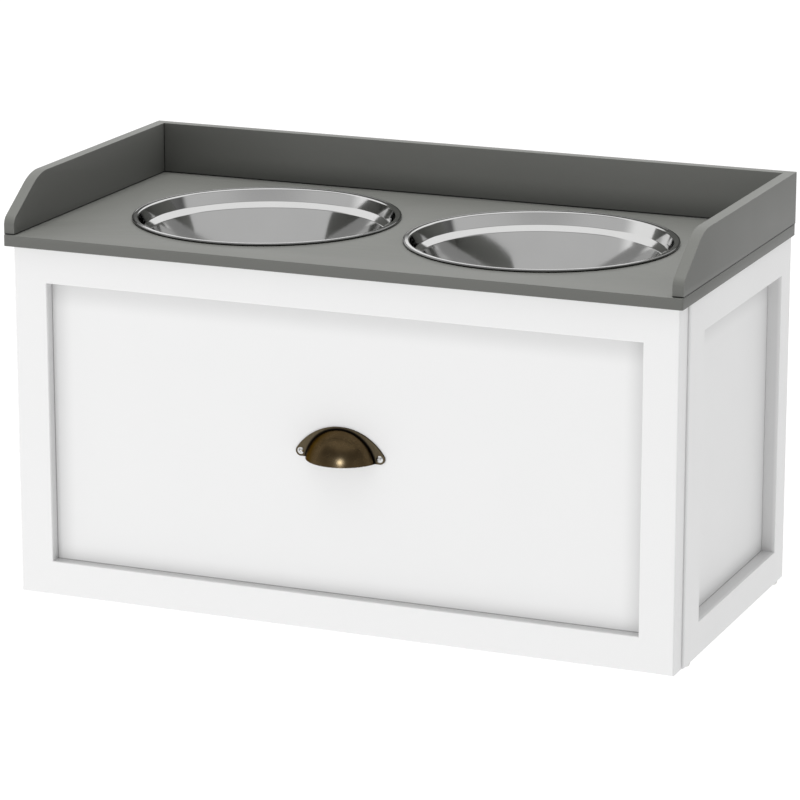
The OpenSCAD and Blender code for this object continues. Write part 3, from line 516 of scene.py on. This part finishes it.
# Screws. Zinc plated, with a cross recess: low domed heads on the brackets and runners,
# countersunk ones in the gallery and the drawer's back. Each is driven down to its seat.
def screw_tree():
    """Geometry nodes that stand a screw on each point, its head's face there and its length
    opposite to the point's "out". Each is turned about itself by chance."""
    tree = bpy.data.node_groups.new("cross_recess_screws", "GeometryNodeTree")
    for in_out, kind, name in (
            ("INPUT", "Geometry", "Points"), ("INPUT", "Float", "Head Radius"),
            ("INPUT", "Float", "Radius Under Head"), ("INPUT", "Float", "Head Height"),
            ("INPUT", "Float", "Dome"), ("INPUT", "Float", "Shank Radius"),
            ("INPUT", "Float", "Length"), ("INPUT", "Material", "Material"),
            ("OUTPUT", "Geometry", "Screws")):
        tree.interface.new_socket(name, in_out=in_out, socket_type="NodeSocket" + kind)
    g = Graph(tree)
    given = {s.name: Value(g, s) for s in tree.nodes.new("NodeGroupInput").outputs}
    head_r, head_h, length = given["Head Radius"], given["Head Height"], given["Length"]
    arm_length, arm_width, quarter_turn = 1.15, 0.24, 1.57

    def triple(x, y, z):
        return g.add("ShaderNodeCombineXYZ", {}, {0: x, 1: y, 2: z})

    def raised(geometry, z):
        return g.add("GeometryNodeTransform", {},
                     {"Geometry": geometry, "Translation": triple(0.0, 0.0, z)})

    head = g.add("GeometryNodeMeshCone", {"fill_type": "TRIANGLE_FAN"}, {
        "Vertices": 32, "Fill Segments": 6, "Radius Top": head_r,
        "Radius Bottom": given["Radius Under Head"], "Depth": head_h})
    x, y, z = g.split(g.add("GeometryNodeInputPosition", {}, {}))
    fall = given["Dome"] * (x * x + y * y) / (head_r * head_r)
    head = g.add("GeometryNodeSetPosition", {}, {
        "Geometry": head, "Selection": z > head_h * 0.5, "Offset": triple(0.0, 0.0, 0.0 - fall)})
    shank = g.add("GeometryNodeMeshCone", {"fill_type": "NGON"}, {
        "Vertices": 24, "Radius Top": given["Shank Radius"],
        "Radius Bottom": given["Shank Radius"], "Depth": length - head_h * 0.8})
    body = g.add("GeometryNodeMeshBoolean", {"operation": "UNION", "solver": "EXACT"}, {
        "Mesh 2": [raised(head, 0.0 - head_h), raised(shank, 0.0 - length)]})
    arms = [g.add("GeometryNodeMeshCube", {}, {"Size": triple(head_r * a, head_r * b, head_h)})
            for a, b in ((arm_length, arm_width), (arm_width, arm_length))]
    screw = g.add("GeometryNodeMeshBoolean", {"operation": "DIFFERENCE", "solver": "EXACT"}, {
        "Mesh 1": body, "Mesh 2": arms})
    out = g.add("GeometryNodeInputNamedAttribute", {"data_type": "FLOAT_VECTOR"}, {"Name": "out"})
    upright = g.add("FunctionNodeAlignRotationToVector", {"axis": "Z"}, {"Vector": out})
    chance = g.add("FunctionNodeRandomValue", {"data_type": "FLOAT"},
                   {3: quarter_turn, "Seed": 5}, 1)
    about = g.add("FunctionNodeAxisAngleToRotation", {}, {"Axis": (0, 0, 1), "Angle": chance})
    turned = g.add("FunctionNodeRotateRotation", {"rotation_space": "LOCAL"},
                   {"Rotation": upright, "Rotate By": about})
    stood = g.add("GeometryNodeInstanceOnPoints", {}, {
        "Points": given["Points"], "Instance": screw, "Rotation": turned})
    real = g.add("GeometryNodeRealizeInstances", {}, {"Geometry": stood})
    shown = g.add("GeometryNodeSetMaterial", {},
                  {"Geometry": real, "Material": given["Material"]})
    g.feed(tree.nodes.new("NodeGroupOutput").inputs["Screws"], shown)
    return tree


def screw_seats(node):
    """For each screw of a node: the middle of its head's face, the way it faces, its length."""
    whole = opened(nodes[node].data, weld=0.001 * MM)
    seen, seats = set(), []
    for first in whole.verts:
        if first in seen:
            continue
        screw, fresh = set(), {first}
        while fresh:
            screw |= fresh
            fresh = {e.other_vert(v) for v in fresh for e in v.link_edges} - screw
        seen |= screw
        low = Vector([min(v.co[i] for v in screw) for i in range(3)])
        high = Vector([max(v.co[i] for v in screw) for i in range(3)])
        middle, size = (low + high) / 2, high - low
        axis = max(range(3), key=lambda i: size[i])

        def from_axis(v):
            aside = v.co - middle
            aside[axis] = 0
            return aside.length

        widest = max(screw, key=from_axis)
        out = Vector((0, 0, 0))
        out[axis] = 1 if widest.co[axis] > middle[axis] else -1
        seats.append((middle + out * size[axis] / 2, out, size[axis]))
    return seats


def screws(node, body, slot, material, under_r, head_h, dome):
    """Puts screws with a 6 mm head and a 3.5 mm shank into all the seats of a node."""
    seats = screw_seats(node)
    points = bpy.data.meshes.new(node)
    points.from_pydata([seat for seat, out, length in seats], [], [])
    outs = points.attributes.new("out", "FLOAT_VECTOR", "POINT")
    outs.data.foreach_set("vector", [c for seat, out, length in seats for c in out])
    stand = in_scene(node + "_points", points)
    driven = stand.modifiers.new("screws", "NODES")
    driven.node_group = screw_nodes
    sockets = {s.name: s.identifier for s in screw_nodes.interface.items_tree}
    for name, value in (
            ("Head Radius", 3 * MM), ("Radius Under Head", under_r), ("Head Height", head_h),
            ("Dome", dome), ("Shank Radius", 1.75 * MM),
            ("Length", min(length for seat, out, length in seats)), ("Material", material)):
        driven[sockets[name]] = value
    put(made(node + "_shown", realised(stand), material), body, slot, node)


screw_nodes = screw_tree()
# Each kind of head: the radius under it, its height and its dome.
countersunk, domed = (1.75 * MM, 1.5 * MM, 0.0), (3 * MM, 1.5 * MM, 0.4 * MM)
for node, body, head in (
        ("gallery_screws", "root", countersunk), ("bracket_screws", "root", domed),
        ("cabinet_runner_screws", "root", domed), ("drawer_runner_screws", "drawer", domed),
        ("drawer_back_screws", "drawer", countersunk)):
    screws(node, body, "zinc", zinc, *head)


# Glides and rollers. The glides are white polyethylene, nailed under the stiles, and the four
# rollers are white nylon on the runners' axles. Both are moulded, with a faint flow pattern.
def moulded(name, colour, worn, roughness):
    """Moulded plastic: faint flow marks and a slightly scuffed skin."""
    f = Finish(name)
    flow = f.noise(size=6 * MM, stretch=(1, 1, 3))
    scuff = f.between(0.55, 0.75, f.noise(size=1.2 * MM))
    return f.surface(
        Base_Color=f.blend(0.6 * flow + 0.3 * scuff, colour, worn),
        Roughness=roughness + 0.12 * scuff,
        Normal=f.relief(flow, depth=0.03 * MM, strength=0.5),
    )


plastic = moulded("white_nylon", (0.8, 0.8, 0.78, 1), (0.7, 0.69, 0.66, 1), roughness=0.36)
for node in ("floor_glides", "front_roller_left", "front_roller_right", "rear_roller_left",
             "rear_roller_right"):
    nodes[node].material_slots[0].material = plastic


# Roller runners. Folded steel strips with a white epoxy coat: a channel on each cabinet side and
# a flanged strip under each drawer side, both screwed on. The folds keep a small radius.
enamel = sprayed("white_epoxy", (0.8, 0.8, 0.79, 1), (0.74, 0.74, 0.72, 1), roughness=0.3)
for node, body in (("cabinet_runner_left", "root"), ("cabinet_runner_right", "root"),
                   ("drawer_runner_left", "drawer"), ("drawer_runner_right", "drawer")):
    put(eased(node, width=0.35 * MM, material=enamel), body, "runner_enamel", node)


# Drawer box. Sides and back of 12 mm melamine-faced board, their edges banded, round a thin
# bottom that slides into grooves.
for node in ("drawer_side_left", "drawer_side_right", "drawer_back"):
    put(eased(node, width=0.5 * MM, material=board), "drawer", "white_board", node)
nodes["drawer_bottom"].material_slots[0].material = hardboard


# Drawer front. The same frame-and-panel make as the sides, thicker and with a shallower recess,
# held to the drawer's sides by cam fittings.
front_pieces = ["drawer_front_stile_left", "drawer_front_stile_right", "drawer_front_bottom_rail",
                "drawer_front_top_rail"]
# beside is the painted shade on the front panel at its stiles.
panelled("front", front_pieces, "drawer_front_panel", axis=0, outwards=-1, tongue=5 * MM,
         beside=(0.72, 20 * MM), body="drawer")


# Cup pull. A cast shell like a quarter of a hollow ball, on a thin plate that runs out into an
# ear at each end. Its antique bronze is nearly black in the crease and rubbed browner outside.
# Two round-head screws hold it.
def antique(name, ball, ball_r, plate_y):
    """Antique bronze: brown patina, dark in the crease round the shell, rubbed on the plate."""
    f = Finish(name)
    x, y, z = f.split(f.place)
    across = ((x - ball.x) ** 2 + (z - ball.z) ** 2) ** 0.5
    crease_r = (ball_r ** 2 - (plate_y - ball.y) ** 2) ** 0.5
    to_crease = ((across - crease_r) ** 2 + (y - plate_y) ** 2) ** 0.5
    crease = 1 - f.between(0.4 * MM, 2.2 * MM, to_crease)
    off_shell = f.between(0, 1 * MM, across - crease_r)
    on_plate = (abs(y - plate_y) < 0.12 * MM) * off_shell
    # Painted shade: the plate's side faces are painted near black, a dark outline round the plate.
    plate_side_painted_shade = f.between(0.2 * MM, 0.5 * MM, y - plate_y) * off_shell
    mottle = f.noise(size=9 * MM, detail=3)
    brushed = f.noise(size=0.7 * MM, stretch=(1, 1, 5))
    brown = f.blend(mottle, (0.062, 0.041, 0.019, 1), (0.118, 0.083, 0.043, 1))
    rubbed = f.blend(brushed, (0.05, 0.04, 0.026, 1), (0.17, 0.138, 0.085, 1))
    body = f.blend(plate_side_painted_shade, f.blend(on_plate * 0.8, brown, rubbed), (0.02, 0.017, 0.014, 1))
    return f.surface(
        Base_Color=f.blend(crease, body, (0.006, 0.005, 0.004, 1)),
        Metallic=1.0,
        Specular_Tint=(0.45, 0.39, 0.33, 1),
        Roughness=0.27 + 0.08 * (mottle - 0.5) + 0.18 * on_plate,
        Normal=f.relief(brushed, depth=0.06 * MM, strength=0.3),
    )


def arc(x, z, r, first, last, steps):
    """Points of an arc in the upright plane, from one angle in radians to another."""
    angles = [first + (last - first) * i / steps for i in range(steps + 1)]
    return [(x + r * math.cos(t), z + r * math.sin(t)) for t in angles]


def revolved(name, profile, centre, around=192):
    """Turns a profile of (radius, height) about an upright axis. It starts and ends on the axis."""
    turned = bmesh.new()
    rings = []
    for r, h in profile:
        on_axis = r < 1e-6 * MM
        count = 1 if on_axis else around
        angles = [2 * math.pi * i / around for i in range(count)]
        rings.append([turned.verts.new(
            (centre.x + r * math.cos(t), centre.y + r * math.sin(t), centre.z + h))
            for t in angles])
    for a, b in zip(rings, rings[1:]):
        for i in range(around):
            j = (i + 1) % around
            corners = [a[i % len(a)], a[j % len(a)], b[j % len(b)], b[i % len(b)]]
            turned.faces.new(list(dict.fromkeys(corners)))
    return closed(turned, name, outwards=True)


# The shell's lower edge is an arc of plan_r, seen from below, and the ball's middle lies drop
# below that edge.
plate_t, ear_r, screw_gap, plate_rise = 1.5 * MM, 4.5 * MM, 71 * MM, 23.6 * MM
cup_w, cup_h, cup_out, cup_wall = 63 * MM, 26.5 * MM, 25 * MM, 1.5 * MM
pull_low, pull_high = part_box("cup_pull")
plan_r = ((cup_w / 2) ** 2 + cup_out ** 2) / (2 * cup_out)
drop = ((cup_w / 2) ** 2 - cup_h ** 2) / (2 * cup_h)
ball_r = math.hypot(plan_r, drop)
ball = Vector((0, pull_high.y + plan_r - cup_out, pull_low.z - drop))
plate_y = pull_high.y - plate_t
bronze = antique("antique_bronze", ball, ball_r, plate_y)

# The plate's top is an arc of arch_r that runs tangent into the two ears.
ear_x, ear_z = screw_gap / 2, pull_low.z + ear_r
arch_r = (ear_x ** 2 + plate_rise ** 2 - ear_r ** 2) / (2 * (plate_rise - ear_r))
arch_z = plate_rise - arch_r
lean = math.atan2(-arch_z, ear_x)
outline = [
    *arc(ear_x, ear_z, ear_r, -math.pi / 2, lean, steps=12),
    *arc(0, ear_z + arch_z, arch_r, lean, math.pi - lean, steps=48)[1:],
    *arc(-ear_x, ear_z, ear_r, math.pi - lean, 1.5 * math.pi, steps=12)[1:],
]
plate = bmesh.new()
front_face, back_face = [
    plate.faces.new([plate.verts.new((x, y, z)) for x, z in outline])
    for y in (plate_y, pull_high.y)]
bmesh.ops.bridge_loops(plate, edges=[*front_face.edges, *back_face.edges])
plate = closed(plate, "plate", outwards=True)
edge_angle, pole = math.asin(drop / ball_r), math.pi / 2
dome_profile = [(0, drop), *arc(0, 0, ball_r, edge_angle, pole, steps=24)]
hollow_profile = arc(0, 0, ball_r - cup_wall, -pole, pole, steps=48)
dome = revolved("dome", dome_profile, ball, around=128)
hollow = revolved("hollow", hollow_profile, ball, around=128)
half_dome = combined("INTERSECT", dome, block((-1, -1, 0), (1, pull_high.y, 1)))
shell = combined("DIFFERENCE", combined("UNION", plate, half_dome), hollow)
shell = closed(opened(shell, weld=0.05 * MM), "cup_pull")
put(soften("cup_pull", shell, width=0.3 * MM, material=bronze), "drawer", "aged_bronze", "cup_pull")
bright = plated("bright_nickel", (0.8, 0.8, 0.8, 1), (0.7, 0.7, 0.69, 1), roughness=0.16)
screws("cup_pull_screws", "drawer", "bright_screws", bright, under_r=3 * MM, head_h=2 * MM,
       dome=1.7 * MM)


# Bowls. Spun from one disc of stainless steel, polished like a mirror: a flat rim with a rolled
# edge, a short wall, a ledge for stacking, and a deeper wall down to a round-cornered bottom.
# They hang loose by their rims in the top's cut-outs.
def polished(name, centre, edge_r):
    """Mirror polish: faint rings from the lathe, soft wipe marks, and painted shade on the rolled
    edge.
    """
    f = Finish(name)
    rings_per_metre = 1400
    x, y, z = f.split(f.place)
    radius = ((x - centre.x) ** 2 + (y - centre.y) ** 2) ** 0.5
    ring_place = f.add("ShaderNodeCombineXYZ", {},
                       {0: radius * rings_per_metre, 1: z * rings_per_metre, 2: 0.0})
    rings = f.add("ShaderNodeTexNoise", {}, {"Vector": ring_place, "Scale": 1.0, "Detail": 2.0})
    wiped = f.noise(size=30 * MM, detail=3)
    # Painted shade: the rolled edge darkens, and below its middle turns black, a painted contact
    # shadow under the rim.
    edge = f.between(-0.8 * MM, -0.4 * MM, radius - edge_r)
    under = 1 - f.between(0.6 * MM, 1 * MM, z - centre.z)
    steel = f.blend(wiped, (0.75, 0.75, 0.745, 1), (0.7, 0.7, 0.695, 1))
    return f.surface(
        Base_Color=f.blend(edge * (0.7 + 0.3 * under), steel, (0.01, 0.01, 0.01, 1)),
        Metallic=1.0,
        Roughness=0.05 + 0.05 * wiped + 0.02 * rings,
        Normal=f.relief(rings, depth=0.001 * MM, strength=0.2),
    )


def rounded(a, b, c, r, steps):
    """Points of the round of radius r at b, between the lines from a and to c."""
    a, b, c = Vector(a), Vector(b), Vector(c)
    u, w = (a - b).normalized(), (c - b).normalized()
    half_angle = u.angle(w) / 2
    middle = b + (u + w).normalized() * r / math.sin(half_angle)
    to_tangent = r / math.tan(half_angle)
    first, last = b + u * to_tangent - middle, b + w * to_tangent - middle
    start = math.atan2(first.y, first.x)
    swing = (math.atan2(last.y, last.x) - start + math.pi) % (2 * math.pi) - math.pi
    angles = [start + swing * i / steps for i in range(steps + 1)]
    return [middle + r * Vector((math.cos(t), math.sin(t))) for t in angles]


wall, bead_r, bead_proud, rim_w, depth = 0.8 * MM, 1 * MM, 0.3 * MM, 5.5 * MM, 66 * MM
ledge_down, ledge_w, ledge_h = 9.4 * MM, 5 * MM, 4.3 * MM
upper_taper, lower_taper = 3.7 * MM, 13.5 * MM
bottom_round, ledge_in_round, ledge_out_round, neck_round = 14 * MM, 2 * MM, 1.5 * MM, 1.8 * MM
flange_z = 2 * bead_r - bead_proud
for side in ("left", "right"):
    low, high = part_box(f"bowl_{side}")
    rim_r = (high.x - low.x) / 2
    seat = Vector(((low.x + high.x) / 2, (low.y + high.y) / 2, low.z + depth))
    neck_r = rim_r - rim_w
    ledge_r = neck_r - upper_taper - ledge_w
    bead_x = rim_r - bead_r
    middle, corner = (0, wall - depth), (ledge_r - lower_taper, wall - depth)
    ledge_in, ledge_out = (ledge_r, -ledge_down - ledge_h), (ledge_r + ledge_w, -ledge_down)
    neck, rim = (neck_r, flange_z), (bead_x, flange_z)
    skin = [
        Vector(middle),
        *rounded(middle, corner, ledge_in, bottom_round, steps=16),
        *rounded(corner, ledge_in, ledge_out, ledge_in_round, steps=8),
        *rounded(ledge_in, ledge_out, neck, ledge_out_round, steps=8),
        *rounded(ledge_out, neck, rim, neck_round, steps=10),
    ]
    under = []
    for i, point in enumerate(skin):
        along = (skin[min(i + 1, len(skin) - 1)] - skin[max(i - 1, 0)]).normalized()
        under.append(point + wall * Vector((along.y, -along.x)))
    top_angle = math.pi - math.asin((flange_z - bead_r) / bead_r)
    under_angle = math.pi - math.asin((flange_z - wall - bead_r) / bead_r) - 2 * math.pi
    bead = arc(bead_x, bead_r, bead_r, top_angle, under_angle, steps=20)
    profile = [*((p.x, p.y) for p in skin), *bead, *((p.x, p.y) for p in under[::-1])]
    mirror = polished(f"mirror_steel_{side}", seat, bead_x)
    bowl = made(f"bowl_{side}_shown", revolved(f"bowl_{side}", profile, seat), mirror)
    put(bowl, f"bowl_{side}", "bowl_steel", f"bowl_{side}")


# The studio: a plain white floor that glows evenly, a broad low softbox in front, a lamp
# overhead that only lights the grey pieces, and a small cool one that glints on the cup pull.
floor_mesh = bpy.data.meshes.new("floor")
reach = 30
floor_mesh.from_pydata(
    [(-reach, -reach, 0), (reach, -reach, 0), (reach, reach, 0), (-reach, reach, 0)],
    [], [(0, 1, 2, 3)])
floor = in_scene("floor", floor_mesh)
pale = Finish("pale_floor")
floor_mesh.materials.append(pale.surface(
    Base_Color=pale.blend(pale.noise(size=0.5), (0.21, 0.21, 0.21, 1), (0.19, 0.19, 0.19, 1)),
    Emission_Color=(1, 1, 1, 1),
    Emission_Strength=0.9,
    Roughness=0.9))


def lamp(kind, name, place, aim, power, **settings):
    """A lamp at a place, turned towards its aim. The power is in watts, a sun's in W/m2."""
    light = bpy.data.lights.new(name, kind)
    light.energy = power
    for setting, value in settings.items():
        setattr(light, setting, value)
    shining = in_scene(name, light)
    shining.location = place
    look(shining, Vector(aim) - Vector(place))
    return shining


softbox = lamp("AREA", "low_front", place=(-1.2, -4.6, 0.15), aim=(0, 0, 0.15), power=62.0,
               shape="RECTANGLE", size=2.4, size_y=0.28)
overhead = lamp("SUN", "overhead", place=(0, 0, 3), aim=(0, 0, 0), power=3.7,
                angle=math.radians(30))
for unmirrored in (softbox, overhead):
    unmirrored.visible_glossy = False
overhead.light_linking.receiver_collection = grey_pieces
glint_turn, glint_rise, glint_distance = 10, 19, 1.2
glint = lamp("AREA", "glint", place=ball + glint_distance * way(glint_turn, glint_rise), aim=ball,
             power=6.8, shape="DISK", size=0.22, color=(0.7, 0.8, 1))
bronze_pieces = bpy.data.collections.new("bronze_pieces")
bronze_pieces.objects.link(bpy.data.objects["cup_pull_shown"])
glint.light_linking.receiver_collection = bronze_pieces

# The room around the table: bright behind the feeder and overhead, darker in front and there
# darkest above, with a black flag on the right, which the bowls show as a dark wedge. aside and
# facing are the shares of a direction that point to the viewpoint's right and towards it.
world = bpy.data.worlds.new("studio")
bpy.context.scene.world = world
room = Finish("studio", world)
x, y, z = room.split(room.place)
turn, level = math.radians(view_turn), (x * x + y * y) ** 0.5
aside = (x * math.cos(turn) + y * math.sin(turn)) / level
facing = (x * math.sin(turn) - y * math.cos(turn)) / level
back_glow, front_low, front_high, zenith, flag_black = 0.95, 0.55, 0.35, 0.95, 0.85
front = room.between(-0.15, 0.15, facing)
high = room.between(0.38, 0.46, z)
top = room.between(0.72, 0.86, z)
around = back_glow * (1 - front) + front * (front_low * (1 - high) + front_high * high)
flag = (room.between(0, 0.1, aside) * room.between(-0.45, -0.33, facing)
        * (1 - room.between(0.03, 0.14, facing)) * (1 - room.between(0.35, 0.5, z)))
room.surface(Color=(1, 1, 1, 1),
             Strength=(around * (1 - top) + zenith * top) * (1 - flag_black * flag))

scene = bpy.context.scene
scene.cycles.use_denoising = True
scene.cycles.glossy_bounces = 2
scene.view_settings.view_transform = "Standard"
